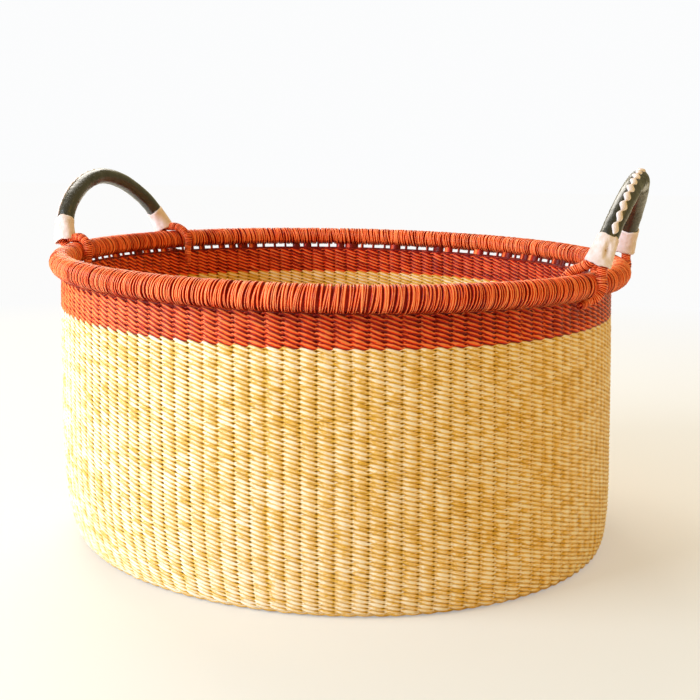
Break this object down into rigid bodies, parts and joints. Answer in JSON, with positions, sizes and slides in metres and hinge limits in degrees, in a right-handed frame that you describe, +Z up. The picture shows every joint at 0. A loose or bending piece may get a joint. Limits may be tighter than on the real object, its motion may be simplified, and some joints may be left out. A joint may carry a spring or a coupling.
{
  "type": "hamper basket",
  "caption": "Round twined grass hamper with a dyed top band, a wound rim roll on bare stakes and two leather-covered arched side handles on wound legs.",
  "frame": {"origin": "middle of the underside, on the surface the hamper stands on", "axes": "+Z up through the middle of the rim, +X towards the right handle, -Y towards the front"},
  "size_m": [0.5296, 0.4992, 0.319],
  "materials": {
    "straw": "natural split grass straw, satin",
    "dyed_straw": "red-orange dyed split grass straw, satin",
    "bundle_grass": "loose dry grass bundle, matt",
    "black_leather": "black leather, wrapped wet and worn smooth, semi-gloss",
    "cream_leather": "undyed cream leather, soft satin"
  },
  "bodies": {
    "root": {"floor_start_knot": "straw", "floor_weave": "straw", "wall_weave": "straw", "dyed_band": "dyed_straw", "stake_crown": "dyed_straw", "rim_bundle": "bundle_grass", "rim_winding": "dyed_straw", "right_handle_bundle": "bundle_grass", "right_handle_sleeve": "black_leather", "right_handle_lace": "cream_leather", "right_front_cuff": "cream_leather", "right_front_leg_outer": "dyed_straw", "right_front_leg_inner": "dyed_straw", "right_back_cuff": "cream_leather", "right_back_leg_outer": "dyed_straw", "right_back_leg_inner": "dyed_straw", "left_handle_bundle": "bundle_grass", "left_handle_sleeve": "black_leather", "left_handle_lace": "cream_leather", "left_front_cuff": "cream_leather", "left_front_leg_outer": "dyed_straw", "left_front_leg_inner": "dyed_straw", "left_back_cuff": "cream_leather", "left_back_leg_outer": "dyed_straw", "left_back_leg_inner": "dyed_straw"}
  },
  "joints": []
}
